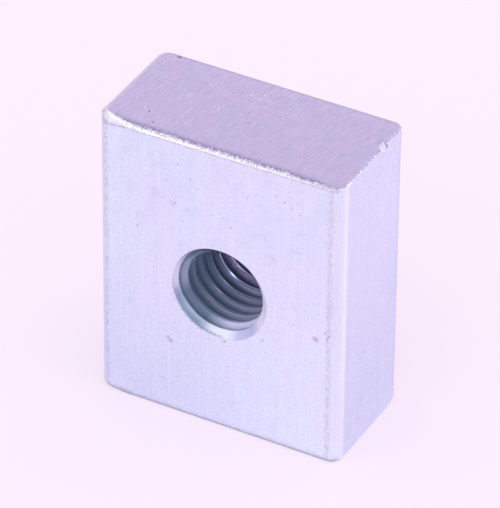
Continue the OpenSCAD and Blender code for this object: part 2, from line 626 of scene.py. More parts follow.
# Stained lines along the long edges: the edge's side in x and y, the line's angle round the edge in
# degrees, from 0 where the broad face ends to 90 where the narrow side begins, and its strength
EDGE_STAINS = [(1, -1, 0, 0.36), (-1, -1, 14, 0.38), (1, 1, 76, 0.32), (-1, 1, 14, 0.30)]
# How many degrees from such a line the stain begins and is full
EDGE_STAIN_REACH = (20, 4)

# Painted shade, a grey line round the foot where the contact shadow falls, and the dirt on it: heights where
# they begin and are full
FOOT_SHADE_LINE = (0.62, 0.15)
FOOT_DIRT = (1.0, 0.35)
# How thick the dirt is towards the right and at the left corner, and where it thickens
DIRT_ACROSS = (LEFT + 7, LEFT + 1.5, 0.3, 1.0)
# The right side has no such line: where it begins and is full round the right corner
OFF_RIGHT_SIDE = (RIGHT - 0.05, RIGHT - 0.45)

# Scratches on the sawn top: x and y of the middle, length, and turn in degrees from the tooth marks
SCRATCHES = [
    (-1.08, 3.95, 0.90, 0), (-1.05, 5.02, 0.60, 5), (-0.02, 4.27, 0.70, -4), (-7.56, 3.91, 0.70, 0),
    (-8.75, 0.80, 1.10, 0), (-4.20, 0.88, 0.50, -6), (-4.35, 0.12, 0.50, 4), (-14.50, 5.33, 0.30, 0),
    (-11.86, -3.85, 0.45, 10), (-2.32, 4.44, 0.40, 0), (-4.58, 4.75, 0.30, 0), (-7.11, 4.31, 0.30, 0),
    (-0.42, 4.67, 0.35, 0), (3.10, 1.90, 0.30, 0), (6.40, -2.10, 0.30, 0),
]
SCRATCH_HALF_WIDTH = 0.065
TOOTH_MARK_TURN = 80
# Stains on the sawn top, and the dark mark behind the nick: x and y, half length along x, half width
STAINS = [(-13.53, 7.25, 0.38, 0.16), (-11.03, -4.37, 0.14, 0.14), (-9.53, -6.06, 0.13, 0.16)]
NICK_DARK_MARK = (15.85, 3.30, 0.38, 0.20)

# Ways from the axis of the bore, seen from the front
DOWN = (0, 0, -1)
LOW_LEFT = (-0.42, 0, -0.91)
LOWER_LEFT = (-0.77, 0, -0.64)
RIM_LOWER_LEFT = (-0.82, 0, -0.57)
LEFT_SIDE = (-0.985, 0, 0.17)
UPPER_LEFT = (-0.92, 0, 0.39)
LOWER_RIGHT = (0.57, 0, -0.82)

# A rust spot on the wall of the hole: its place and radius
RUST_SPOT = (-3.01, -4.42, 14.87)
RUST_R = 0.3
# How far back the thread is violet, and how far back a screw has burnished its crests
VIOLET_Y = 3.0
BURNISHED_Y = 1.1
# How deep the painted shade, a dark line inside each countersink, lies
SINK_LIP = 0.18


def zinc_plate(name, roughness):
    """A bare zinc-plated metal, with the spot that is seen in millimetres, and that spot's X, Y and Z."""
    material = bpy.data.materials.new(name)
    material.use_nodes = True
    tree = material.node_tree
    shader = tree.nodes["Principled BSDF"]
    shader.inputs["Metallic"].default_value = 1.0
    shader.inputs["Roughness"].default_value = roughness
    metres = add(tree, "ShaderNodeTexCoord", out="Object")
    spot = add(tree, VECTOR_MATH, {0: metres, "Scale": 1 / MM}, operation="SCALE")
    place = add(tree, SPLIT, [spot]).node.outputs
    return Plate(material, tree, shader, spot, place)


def finished(plate, links):
    """The plate's material, with the named inputs of its shader linked."""
    for name, socket in links.items():
        plate.tree.links.new(socket, plate.shader.inputs[name])
    return plate.material


def painted(tree, under, over, mask, strength=1.0):
    """One colour, hex or linked, laid over another as thickly as a mask and a strength say."""
    share = add(tree, MATH, (mask, strength), operation="MULTIPLY")
    under, over = [srgb(c) if isinstance(c, str) else c for c in (under, over)]
    return add(tree, MIX, {FACTOR: share, COLOUR_A: under, COLOUR_B: over}, MIXED, data_type="RGBA")


def shaded(tree, colour, pattern, contrast):
    """A colour made lighter and darker by a pattern about 0.5."""
    level = add(tree, RANGE, (pattern, 0.0, 1.0, 1 - contrast / 2, 1 + contrast / 2), clamp=False)
    return add(tree, MIX, {FACTOR: 1.0, COLOUR_A: colour, COLOUR_B: level}, MIXED,
               data_type="RGBA", blend_type="MULTIPLY")


def overlap(tree, *masks):
    """Mask of where all the given masks lie."""
    shared = masks[0]
    for mask in masks[1:]:
        shared = add(tree, MATH, (shared, mask), operation="MULTIPLY")
    return shared


def off_by(tree, value, middle):
    """How far a value lies from a middle, on either side."""
    off = add(tree, MATH, (value, middle), operation="SUBTRACT")
    return add(tree, MATH, [off], operation="ABSOLUTE")


def stretched_noise(tree, spot, sizes, detail=2.0, turn=0.0):
    """Noise with bumps of the given sizes, turned about Z by an angle in degrees."""
    placed = add(tree, "ShaderNodeMapping", {"Vector": spot, "Rotation": (0, 0, -math.radians(turn))})
    scale = tuple(1 / size for size in sizes)
    squeezed = add(tree, VECTOR_MATH, (placed, scale), operation="MULTIPLY")
    return add(tree, NOISE, {"Vector": squeezed, "Scale": 1.0, "Detail": detail})


def patches(tree, spot, sizes, levels, detail=2.0, turn=0.0):
    """Mask of uneven patches of the given sizes. levels are those of the noise where a patch begins and is
    full, and then, where they aren't 0 and 1, the mask's own least and most."""
    bumps = stretched_noise(tree, spot, sizes, detail, turn)
    return add(tree, RANGE, (bumps, *levels))


def spots(tree, spot, spacing, radius, share):
    """Mask of small round spots of up to radius, in the given share of the cells of a random grid."""
    cell = add(tree, "ShaderNodeTexVoronoi", {"Vector": spot, "Scale": 1 / spacing})
    pick = add(tree, "ShaderNodeSeparateColor", [cell.node.outputs["Color"]])
    reach = add(tree, RANGE, (pick, 1 - share, 1.0, 0.0, radius / spacing))
    inside = add(tree, MATH, (reach, cell), operation="SUBTRACT")
    return add(tree, RANGE, (inside, 0.0, 0.5 * radius / spacing))


def marks(tree, spot, listed):
    """Mask of listed ellipses: place, half sizes and turn about Z in degrees."""
    mask = 0.0
    for place, sizes, turn in listed:
        within = add(tree, "ShaderNodeMapping", {
            "Vector": spot, "Location": place, "Rotation": (0, 0, math.radians(turn)), "Scale": sizes,
        }, vector_type="TEXTURE")
        far = add(tree, VECTOR_MATH, [within], "Value", operation="LENGTH")
        mark = add(tree, RANGE, (far, 1.15, 0.55))
        mask = add(tree, MATH, (mask, mark), operation="MAXIMUM")
    return mask


def front_marks(tree, spot, listed):
    """Mask of round marks on the front: x, z and radius."""
    return marks(tree, spot, [((x, FRONT, z), (r, 1, r), 0) for x, z, r in listed])


def top_marks(tree, spot, listed):
    """Mask of long marks on the top: x, y, half length and half width."""
    return marks(tree, spot, [((x, y, HEIGHT), (length, width, 1), 0) for x, y, length, width in listed])


def warped(tree, spot, size, reach):
    """Coordinates pushed about by noise, so that marks get uneven edges."""
    push = add(tree, NOISE, {"Vector": spot, "Scale": 1 / size}, "Color")
    centred = add(tree, VECTOR_MATH, (push, (0.5, 0.5, 0.5)), operation="SUBTRACT")
    return add(tree, VECTOR_MATH, (centred, (reach, reach, reach), spot), operation="MULTIPLY_ADD")


def angle_round_edge(tree, spot, side_x, side_y):
    """Angle round one of the four long edges, in degrees: 0 where the broad face ends, 90 where the narrow
    side begins."""
    centre = (side_x * (RIGHT - EDGE_R), side_y * (BACK - EDGE_R), 0)
    off = add(tree, VECTOR_MATH, (spot, centre), operation="SUBTRACT")
    outwards = add(tree, VECTOR_MATH, (off, (side_x, 0, 0)), "Value", operation="DOT_PRODUCT")
    forwards = add(tree, VECTOR_MATH, (off, (0, side_y, 0)), "Value", operation="DOT_PRODUCT")
    turn = add(tree, MATH, (outwards, forwards), operation="ARCTAN2")
    return add(tree, MATH, [turn], operation="DEGREES")


def from_bore(tree, spot):
    """How far a spot lies from the axis of the bore, and the way there."""
    off = add(tree, VECTOR_MATH, (spot, (BORE_X, 0, BORE_Z)), operation="SUBTRACT")
    flat = add(tree, VECTOR_MATH, (off, (1, 0, 1)), operation="MULTIPLY")
    far = add(tree, VECTOR_MATH, [flat], "Value", operation="LENGTH")
    way = add(tree, VECTOR_MATH, [flat], operation="NORMALIZE")
    return far, way


def round_bore(tree, way, direction, *reach):
    """Mask of what lies round one direction from the bore's axis. reach is the cosine of the angle to it where
    the mask begins and is full, and then, where they aren't 0 and 1, the mask's own values there."""
    near = add(tree, VECTOR_MATH, (way, direction), "Value", operation="DOT_PRODUCT")
    return add(tree, RANGE, (near, *reach))


# Wear, dirt and painted shade that lie on more than one finish

def foot_shade_and_dirt(plate, colour):
    """A colour with painted shade, a grey line round the foot where the contact shadow falls, and dirt on it,
    thickest at the left corner.
    """
    tree, across = plate.tree, plate.place["X"]
    height = add(tree, SPLIT, [warped(tree, plate.spot, size=1.2, reach=0.25)], "Z")
    off_side = add(tree, RANGE, (across, *OFF_RIGHT_SIDE))
    low = add(tree, RANGE, (height, *FOOT_SHADE_LINE), interpolation_type="SMOOTHSTEP")
    # Painted shade: the grey line round the foot
    colour = painted(tree, colour, FOOT_SHADE_GREY, overlap(tree, low, off_side), strength=0.9)
    dirt = add(tree, RANGE, (height, *FOOT_DIRT))
    thickness = add(tree, RANGE, (across, *DIRT_ACROSS))
    patchy = patches(tree, plate.spot, (0.5, 0.5, 0.4), (0.30, 0.55))
    dirty = overlap(tree, dirt, thickness, off_side, patchy)
    return painted(tree, colour, SPECK_DARK, dirty, strength=0.45)


def dark_behind_nick(plate, colour):
    """A colour with the dark mark behind the nick painted over it."""
    darkened = top_marks(plate.tree, plate.spot, [NICK_DARK_MARK])
    return painted(plate.tree, colour, SPECK_DARK, darkened, strength=0.5)


# The drawn bar's faces and long edges

def drawn_tints(plate):
    """Bluish white, clouded with lilac and, low down, with aqua. The front has painted shade at the lower left and
    is aqua at the upper left, and the right side darkens downwards with painted shade."""
    tree, spot = plate.tree, plate.spot
    across, height = plate.place["X"], plate.place["Z"]
    clouds = patches(tree, spot, (5, 5, 8), (0.32, 0.68), detail=6.0)
    colour = painted(tree, ZINC_BLUE, ZINC_LILAC, clouds)
    low = add(tree, RANGE, (height, 20, 3))
    drifts = patches(tree, spot, (4, 4, 6), (0.35, 0.6), detail=4.0)
    colour = painted(tree, colour, ZINC_AQUA, overlap(tree, low, drifts), strength=0.8)
    # Painted shade at the lower left of the front
    leftwards = add(tree, RANGE, (across, 16, -4))
    colour = painted(tree, colour, ZINC_HAZE_AND_SHADE, overlap(tree, low, leftwards))
    leftmost = add(tree, RANGE, (across, -9, -15))
    upper = add(tree, RANGE, (height, 16, 24))
    colour = painted(tree, colour, ZINC_AQUA, overlap(tree, leftmost, upper), strength=0.6)
    # Painted shade on the right side, deeper downwards
    on_side = add(tree, RANGE, (across, RIGHT - 0.25, RIGHT - 0.05))
    downwards = add(tree, RANGE, (height, 30, 6))
    side = painted(tree, ZINC_SIDE, ZINC_SIDE_SHADE_AND_NICK, downwards)
    return painted(tree, colour, side, on_side, strength=0.85)


def drawn_marks(plate, ragged, mottled, colour):
    """A colour with haze and pits in clusters, and with the specks, stains and smudges of the front."""
    tree = plate.tree
    clusters = patches(tree, plate.spot, (2.2, 2.2, 3.0), (0.46, 0.66), detail=3.0)
    high_up = add(tree, RANGE, (plate.place["Z"], 14, 26, 0.0, 0.3))
    colour = painted(tree, colour, ZINC_HAZE_AND_SHADE, overlap(tree, clusters, high_up))
    pits = spots(tree, ragged, spacing=0.36, radius=0.13, share=0.6)
    colour = painted(tree, colour, MARK_AND_SHADE_BLUE, overlap(tree, pits, clusters), strength=0.62)
    colour = painted(tree, colour, SPECK_DARK, front_marks(tree, ragged, DARK_SPECKS), strength=0.5)
    colour = painted(tree, colour, STAIN_BROWN, front_marks(tree, ragged, BROWN_SPOTS), strength=0.5)
    smudged = overlap(tree, front_marks(tree, ragged, SMUDGES), mottled)
    return painted(tree, colour, MARK_AND_SHADE_BLUE, smudged, strength=0.18)


def edge_stains(plate, ragged, colour):
    """A colour with patchy brown lines and dark dots along the long edges, and painted shade on the left front edge.
    """
    tree = plate.tree
    patchy = patches(tree, plate.spot, (0.25, 0.25, 0.6), (0.38, 0.62), detail=3.0)
    dots = spots(tree, ragged, spacing=0.45, radius=0.2, share=0.45)
    for side_x, side_y, at, strength in EDGE_STAINS:
        angle = angle_round_edge(tree, ragged, side_x, side_y)
        line = add(tree, RANGE, (off_by(tree, angle, at), *EDGE_STAIN_REACH))
        colour = painted(tree, colour, STAIN_BROWN, overlap(tree, line, patchy), strength)
        colour = painted(tree, colour, SPECK_DARK, overlap(tree, line, dots), 0.6 * strength)
    # Painted shade on the rounding of the left front edge
    left_edge_shade = add(tree, RANGE, (angle_round_edge(tree, plate.spot, -1, -1), 12, 35))
    return painted(tree, colour, MARK_AND_SHADE_BLUE, left_edge_shade, strength=0.20)


def crest_highlight(plate, colour):
    """A colour with a painted highlight, bright and broken, along the burnished crest of the right front edge; it
    fades towards the foot.
    """
    tree = plate.tree
    angle = angle_round_edge(tree, plate.spot, 1, -1)
    slow_rise = add(tree, RANGE, (angle, 20, 75, 0.0, 0.35))
    quick_rise = add(tree, RANGE, (angle, 50, 80, 0.0, 0.65), interpolation_type="SMOOTHSTEP")
    rising = add(tree, MATH, (slow_rise, quick_rise), operation="ADD")
    falling = add(tree, RANGE, (angle, 112, 84), interpolation_type="SMOOTHSTEP")
    fading = add(tree, RANGE, (plate.place["Z"], 4, 20, 0.72, 1.0))
    broken = patches(tree, plate.spot, (0.22, 0.22, 0.22), (0.32, 0.52, 0.55, 1.0))
    # Painted highlight along the crest of the right front edge
    return painted(tree, colour, ZINC_CREST_HIGHLIGHT, overlap(tree, rising, falling, fading, broken))


def bevel_line(plate, ragged, colour):
    """A colour with the dotted brownish line just below the filed bevel, on the front."""
    tree = plate.tree
    place = add(tree, SPLIT, [ragged]).node.outputs
    drop = add(tree, RANGE, (place["X"], LEFT, RIGHT, *BEVEL_DROP))
    corner = LEFT + EDGE_R
    nearness = add(tree, RANGE, (place["X"], corner + FLARE_LENGTH, corner))
    flare = add(tree, MATH, (nearness, 2.0), operation="POWER")
    drop = add(tree, MATH, (flare, FLARE_DROP, drop), operation="MULTIPLY_ADD")
    below = add(tree, MATH, (HEIGHT, place["Z"]), operation="SUBTRACT")
    below = add(tree, MATH, (below, drop), operation="SUBTRACT")
    line = add(tree, RANGE, (below, 0.24, 0.08))
    at_front = add(tree, RANGE, (place["Y"], FRONT + 0.4, FRONT + 0.2))
    dots = patches(tree, ragged, (0.3, 0.3, 0.3), (0.35, 0.62))
    return painted(tree, colour, STAIN_BROWN, overlap(tree, line, at_front, dots), strength=0.5)


def mouth_rim_marks(plate, colour):
    """A colour with marks round the rim of the hole's mouth: a darker line and brown dots at the lower left, and
    flecks of painted highlight at the bottom."""
    tree, spot = plate.tree, plate.spot
    far, way = from_bore(tree, spot)
    off_rim = off_by(tree, far, SINK_R + 0.05)
    rim = add(tree, RANGE, (off_rim, 0.20, 0.06))
    lower_left = round_bore(tree, way, RIM_LOWER_LEFT, 0.70, 0.92)
    colour = painted(tree, colour, MARK_AND_SHADE_BLUE, overlap(tree, rim, lower_left), strength=0.6)
    outside = add(tree, RANGE, (off_rim, 0.75, 0.25))
    dots = spots(tree, spot, spacing=0.32, radius=0.2, share=0.6)
    colour = painted(tree, colour, STAIN_BROWN, overlap(tree, outside, lower_left, dots), strength=0.55)
    # Painted highlight: bright flecks on the rim at the bottom
    bottom = round_bore(tree, way, DOWN, 0.90, 0.97)
    flecks = spots(tree, spot, spacing=0.3, radius=0.2, share=0.7)
    return painted(tree, colour, ZINC_BRIGHT, overlap(tree, rim, bottom, flecks))


def drawn_zinc():
    """Zinc plate over drawn bar: satin and bluish white, with drawing lines that run lengthwise, fine pits in
    clusters, stained long edges with a painted highlight on a burnished line along the right front one and painted
    shade on the left front one, and painted shade with some dirt at the foot."""
    plate = zinc_plate("zinc_plate_on_drawn_bar", roughness=0.42)
    tree, spot = plate.tree, plate.spot
    ragged = warped(tree, spot, size=0.25, reach=0.35)
    drawing_lines = stretched_noise(tree, spot, (0.3, 0.3, 14))
    grain = stretched_noise(tree, spot, (0.26, 0.26, 0.36))
    mottled = patches(tree, spot, (0.6, 0.6, 0.8), (0.35, 0.65), detail=3.0)

    colour = drawn_tints(plate)
    colour = shaded(tree, colour, drawing_lines, contrast=0.14)
    colour = shaded(tree, colour, grain, contrast=0.32)
    colour = painted(tree, colour, ZINC_ROSE, mottled, strength=0.3)
    colour = drawn_marks(plate, ragged, mottled, colour)
    colour = edge_stains(plate, ragged, colour)
    colour = crest_highlight(plate, colour)
    colour = bevel_line(plate, ragged, colour)
    colour = mouth_rim_marks(plate, colour)
    colour = foot_shade_and_dirt(plate, colour)
    relief_height = add(tree, MATH, (drawing_lines, grain), operation="ADD")
    relief = add(tree, "ShaderNodeBump", {"Height": relief_height, "Distance": 0.004 * MM})
    return finished(plate, {"Base Color": colour, "Normal": relief})


# The sawn ends

def sawn_edges(plate, grain, colour):
    """A colour with what lies along the edges of the sawn top: the dull strip of burr that was rolled over along
    the filed edge, darkened further by painted shade for the dark it reflects, bright flecks, a stained back edge
    and a pale left one. Also gives the mask of the flecks."""
    tree, place = plate.tree, plate.place
    worn = add(tree, STORED, out="Fac", attribute_name="worn")
    # Painted shade: the rolled-over strip of burr is painted darker for the dark it reflects
    darkened = add(tree, RANGE, (worn, 1.75, 1.0), interpolation_type="SMOOTHSTEP")
    smeared = patches(tree, plate.spot, (0.9, 0.3, 0.3), (0.34, 0.56), detail=3.0)
    colour = painted(tree, colour, BURR_AND_SHADE_GREY, overlap(tree, darkened, smeared), strength=0.85)
    near_bevel = add(tree, RANGE, (worn, 1.5, 1.0, 0.0, 0.26))
    near_side = add(tree, RANGE, (place["X"], RIGHT - 0.7, RIGHT - 0.1, 0.0, 0.22))
    near_edge = add(tree, MATH, (near_bevel, near_side), operation="MAXIMUM")
    flecked = add(tree, MATH, (grain, near_edge), operation="ADD")
    flecks = add(tree, RANGE, (flecked, 0.72, 0.78))
    colour = painted(tree, colour, ZINC_FLECK, flecks)
    at_back = add(tree, RANGE, (place["Y"], BACK - 0.55, BACK - 0.2))
    colour = painted(tree, colour, STAIN_BROWN, at_back, strength=0.35)
    at_left = add(tree, RANGE, (place["X"], LEFT + 0.65, LEFT + 0.25))
    return painted(tree, colour, ZINC_FLECK, at_left, strength=0.6), flecks


def sawn_zinc():
    """Zinc plate over a saw cut: greyer and mottled, with short and long slanting tooth marks, a few bright
    scratches and dark stains, and a dull strip of burr along the filed edge, darkened by painted shade."""
    plate = zinc_plate("zinc_plate_on_saw_cut", roughness=0.34)
    tree, spot = plate.tree, plate.spot
    clouds = patches(tree, spot, (4.5, 2.2, 4.5), (0.30, 0.70), detail=5.0, turn=TOOTH_MARK_TURN)
    tooth_marks = stretched_noise(tree, spot, (1.5, 0.28, 1.5), turn=TOOTH_MARK_TURN)
    long_marks = stretched_noise(tree, spot, (3.0, 0.5, 3.0), turn=TOOTH_MARK_TURN)
    grain = stretched_noise(tree, spot, (0.2, 0.2, 0.2))
    colour = painted(tree, SAWN_BLUE, SAWN_PINK, clouds)
    colour = shaded(tree, colour, tooth_marks, contrast=0.30)
    colour = shaded(tree, colour, long_marks, contrast=0.22)
    colour = shaded(tree, colour, grain, contrast=0.50)

    scratches = []
    for x, y, length, turn in SCRATCHES:
        sizes = (length / 2, SCRATCH_HALF_WIDTH, 1)
        scratches.append(((x, y, HEIGHT), sizes, TOOTH_MARK_TURN + turn))
    scratched = marks(tree, spot, scratches)
    colour = painted(tree, colour, ZINC_FLECK, scratched)
    colour = painted(tree, colour, SPECK_DARK, top_marks(tree, spot, STAINS), strength=0.8)
    colour = dark_behind_nick(plate, colour)
    colour, flecks = sawn_edges(plate, grain, colour)

    # Scratches and flecks scatter light, so they show white from every side
    scattering = add(tree, MATH, (scratched, 0.75), operation="MULTIPLY")
    scattering = add(tree, MATH, (scattering, flecks), operation="MAXIMUM")
    mirroring = add(tree, MATH, (1.0, scattering), operation="SUBTRACT")
    height = add(tree, MATH, (tooth_marks, 0.010), operation="MULTIPLY")
    height = add(tree, MATH, (scratched, 0.04, height), operation="MULTIPLY_ADD")
    relief = add(tree, "ShaderNodeBump", {"Height": height, "Distance": MM})
    return finished(plate, {"Base Color": colour, "Metallic": mirroring, "Normal": relief})


# The filed bevel and the tumbled edges

def bevel_glitter(plate, chatter, worn):
    """Bright zinc, specked with grey towards the burr or, at the left end, towards the front. The left end is hazy
    in its middle, the right is greyer, and a brownish line shows where the bevel meets the drawn front."""
    tree, place = plate.tree, plate.place
    colour = shaded(tree, srgb(ZINC_BRIGHT), chatter, contrast=0.25)
    left_end = add(tree, RANGE, (place["X"], -10.5, -13.5))
    near_burr = add(tree, RANGE, (worn, 0.3, 1.0, 0.0, 0.26))
    near_front = add(tree, RANGE, (worn, 0.75, 0.1, 0.0, 0.28))
    near_edge = add(tree, RANGE, (left_end, 0.0, 1.0, near_burr, near_front))
    specked = add(tree, MATH, (chatter, near_edge), operation="ADD")
    specks = add(tree, RANGE, (specked, 0.62, 0.70))
    colour = painted(tree, colour, BURR_AND_SHADE_GREY, specks, strength=0.8)
    middle = add(tree, RANGE, (off_by(tree, worn, 0.45), 0.35, 0.15))
    colour = painted(tree, colour, BEVEL_HAZE, overlap(tree, left_end, middle), strength=0.6)
    rightwards = add(tree, RANGE, (place["X"], 8, RIGHT - EDGE_R))
    colour = painted(tree, colour, BURR_AND_SHADE_GREY, rightwards, strength=0.35)
    uneven = add(tree, MATH, (chatter, 0.5, worn), operation="MULTIPLY_ADD")
    line = add(tree, RANGE, (uneven, 0.42, 0.26))
    at_front = add(tree, RANGE, (place["Y"], FRONT + EDGE_R, FRONT + EDGE_R / 2))
    return painted(tree, colour, STAIN_BROWN, overlap(tree, line, at_front), strength=0.25)


def edge_scuffs(plate, chatter, at_top, colour):
    """A colour with rosy scuffs at the top left corner and along the top right edge, and the streaked nick there."""
    tree, place = plate.tree, plate.place
    at_left = add(tree, RANGE, (place["X"], LEFT + 0.9, LEFT + 0.3))
    colour = painted(tree, colour, SCUFF_ROSE, overlap(tree, at_left, at_top), strength=0.8)
    at_right = add(tree, RANGE, (place["X"], RIGHT - 0.9, RIGHT - 0.5))
    smeared = add(tree, RANGE, (chatter, 0.62, 0.45))
    colour = painted(tree, colour, SCUFF_ROSE, overlap(tree, at_right, smeared, at_top), strength=0.85)
    near_nick = add(tree, RANGE, (off_by(tree, place["Y"], NICK_Y), NICK_REACH, 0.7 * NICK_REACH))
    nicked = overlap(tree, near_nick, at_right)
    colour = painted(tree, colour, ZINC_SIDE_SHADE_AND_NICK, nicked, strength=0.85)
    streaks = add(tree, RANGE, (chatter, 0.50, 0.60))
    colour = painted(tree, colour, ZINC_FLECK, overlap(tree, nicked, streaks), strength=0.5)
    return dark_behind_nick(plate, colour)


def filed_zinc():
    """Zinc plate over a filed and tumbled edge: bright and glittering with file chatter, scuffed at the top left
    corner and along the right, and grey at the foot with painted shade and some dirt."""
    plate = zinc_plate("zinc_plate_on_filed_edge", roughness=0.30)
    tree, place = plate.tree, plate.place
    chatter = stretched_noise(tree, plate.spot, (0.2, 0.2, 0.2))
    worn = add(tree, STORED, out="Fac", attribute_name="worn")
    colour = bevel_glitter(plate, chatter, worn)
    # Painted shade: the foot's rounding is grey where it meets the floor
    rounded = add(tree, RANGE, (worn, 0.0, 0.35))
    at_foot = add(tree, RANGE, (place["Z"], 3.0, 2.0))
    off_side = add(tree, RANGE, (place["X"], *OFF_RIGHT_SIDE))
    colour = painted(tree, colour, FOOT_SHADE_GREY, overlap(tree, rounded, at_foot, off_side), strength=0.9)
    colour = foot_shade_and_dirt(plate, colour)
    at_top = add(tree, RANGE, (place["Z"], 0.5 * HEIGHT, 0.8 * HEIGHT))
    colour = edge_scuffs(plate, chatter, at_top, colour)

    # The left corner is scuffed, so it scatters light
    left_corner = add(tree, RANGE, (place["X"], LEFT + 1.5, LEFT + 0.7))
    scuffed = overlap(tree, left_corner, at_top)
    mirroring = add(tree, RANGE, (scuffed, 0.0, 1.0, 1.0, 0.2))
    relief = add(tree, "ShaderNodeBump", {"Height": chatter, "Distance": 0.02 * MM})
    return finished(plate, {"Base Color": colour, "Metallic": mirroring, "Normal": relief})


# The tapped hole

def thread_turns(plate, to_crest):
    """Dull grey turns, violet in the depth, with painted light on the roots, crests and inward flanks against the
    shade in the grooves, and a streaky painted highlight on the crest where they are violet. Also gives the mask
    of the crests."""
    tree = plate.tree
    off_violet = off_by(tree, plate.place["Y"], VIOLET_Y)
    violet = add(tree, RANGE, (off_violet, 2.8, 1.2))
    colour = painted(tree, THREAD_GREY, THREAD_VIOLET, violet)
    # Painted light on the roots, crests and inward flanks, against the shade in the grooves
    root = add(tree, RANGE, (to_crest, 0.60, 0.10))
    colour = painted(tree, colour, THREAD_PAINTED_LIGHT, root, strength=0.5)
    crest = add(tree, RANGE, (to_crest, 0.45, 0.85))
    colour = painted(tree, colour, THREAD_CREST_PAINTED_LIGHT, crest, strength=0.6)
    inward_flank = add(tree, STORED, out="Fac", attribute_name="inward_flank")
    flank = add(tree, RANGE, (off_by(tree, inward_flank, 0.5), 0.42, 0.20))
    colour = painted(tree, colour, THREAD_PAINTED_LIGHT, flank, strength=0.6)
    # Painted highlight: a streak on the crest lit through the back mouth
    most_violet = add(tree, RANGE, (off_violet, 1.1, 0.6))
    smeared = patches(tree, plate.spot, (0.35, 0.35, 0.35), (0.40, 0.58, 0.3, 1.0), detail=3.0)
    streak = overlap(tree, crest, most_violet, smeared)
    return painted(tree, colour, THREAD_STREAK_HIGHLIGHT, streak, strength=0.9), crest


def painted_light_on_turns(plate, way, rightwards, to_crest, colour):
    """A colour with painted light in lilac on the turns: towards the right on more and more of each, from its crest
    down, and near the mouth also at the left. The first turn is the palest."""
    tree = plate.tree
    off_middle = add(tree, MATH, [plate.place["Y"]], operation="ABSOLUTE")
    near_mouth = add(tree, RANGE, (off_middle, BACK - 2.0, BACK - 1.4))
    on_left = overlap(tree, round_bore(tree, way, LEFT_SIDE, 0.86, 0.98, 0.0, 0.3), near_mouth)
    # Painted light in lilac on the turns, more of it towards the right
    lilac_turn = add(tree, MATH, (rightwards, 0.86, to_crest), operation="MULTIPLY_ADD")
    on_turns = add(tree, RANGE, (lilac_turn, -0.08, 0.56))
    lilac = add(tree, MATH, (on_turns, on_left), operation="MAXIMUM")
    colour = painted(tree, colour, THREAD_LIT_LILAC, lilac, strength=0.6)
    # The first turn gets the palest painted light
    first_turn = add(tree, RANGE, (off_middle, BACK - 2.8, BACK - 2.2))
    to_right = add(tree, RANGE, (rightwards, -0.45, 0.10))
    pale = add(tree, MATH, (to_right, on_left), operation="MAXIMUM")
    return painted(tree, colour, MOUTH_LIT_LILAC, overlap(tree, pale, first_turn), strength=0.85)


def sink_tints(tree, way, on_right, from_face):
    """The countersinks' lilac: pale with painted light at the right, pale at the upper left, bluish at the lower
    right, greenish with a dull rim at the lower left, and bright at the bottom with a painted highlight."""
    # Painted light: the right side of each countersink is paler
    colour = painted(tree, SINK_LILAC, SINK_PAINTED_LIGHT, on_right)
    bluish = round_bore(tree, way, LOWER_RIGHT, 0.91, 0.98)
    colour = painted(tree, colour, SINK_BLUE, bluish, strength=0.6)
    inwards = add(tree, RANGE, (from_face, 0.28, 0.50))
    green = painted(tree, SINK_RIM, SINK_GREEN, inwards)
    greenish = round_bore(tree, way, LOWER_LEFT, 0.82, 0.95)
    colour = painted(tree, colour, green, greenish, strength=0.85)
    # Painted highlight at the bottom of the countersinks
    bottom = round_bore(tree, way, DOWN, 0.93, 0.99)
    colour = painted(tree, colour, ZINC_BRIGHT, bottom, strength=0.35)
    low_left = round_bore(tree, way, LOW_LEFT, 0.84, 0.95)
    at_rim = add(tree, RANGE, (from_face, 0.26, 0.10))
    colour = painted(tree, colour, SINK_RIM, overlap(tree, low_left, at_rim), strength=0.6)
    upper_left = round_bore(tree, way, UPPER_LEFT, 0.80, 0.97)
    return painted(tree, colour, ZINC_LILAC, upper_left, strength=0.5)


def lip_shade(tree, way, rightwards, from_face, sink_cut):
    """Mask of the painted shade, a dark line along the inner end of each countersink where it meets the thread. It
    is narrower at the low left, fainter at the lower left, and gone at the right."""
    depth = round_bore(tree, way, LOW_LEFT, 0.92, 0.75, SINK_LIP, 2 * SINK_LIP)
    off_lip = add(tree, MATH, (sink_cut, depth), operation="ADD")
    off_lip = add(tree, MATH, [off_lip], operation="ABSOLUTE")
    off_lip = add(tree, MATH, (off_lip, depth), operation="DIVIDE")
    line = add(tree, RANGE, (off_lip, 1.9, 1.0))
    end = add(tree, RANGE, (rightwards, -0.6, 0.2, 1.15, 1.9))
    past_end = add(tree, MATH, (from_face, end), operation="SUBTRACT")
    before_end = add(tree, RANGE, (past_end, 0.0, -0.4))
    off_right = add(tree, RANGE, (rightwards, 0.78, 0.58))
    fainter = round_bore(tree, way, LOWER_LEFT, 0.85, 0.95, 0.95, 0.7)
    return overlap(tree, line, before_end, off_right, fainter)


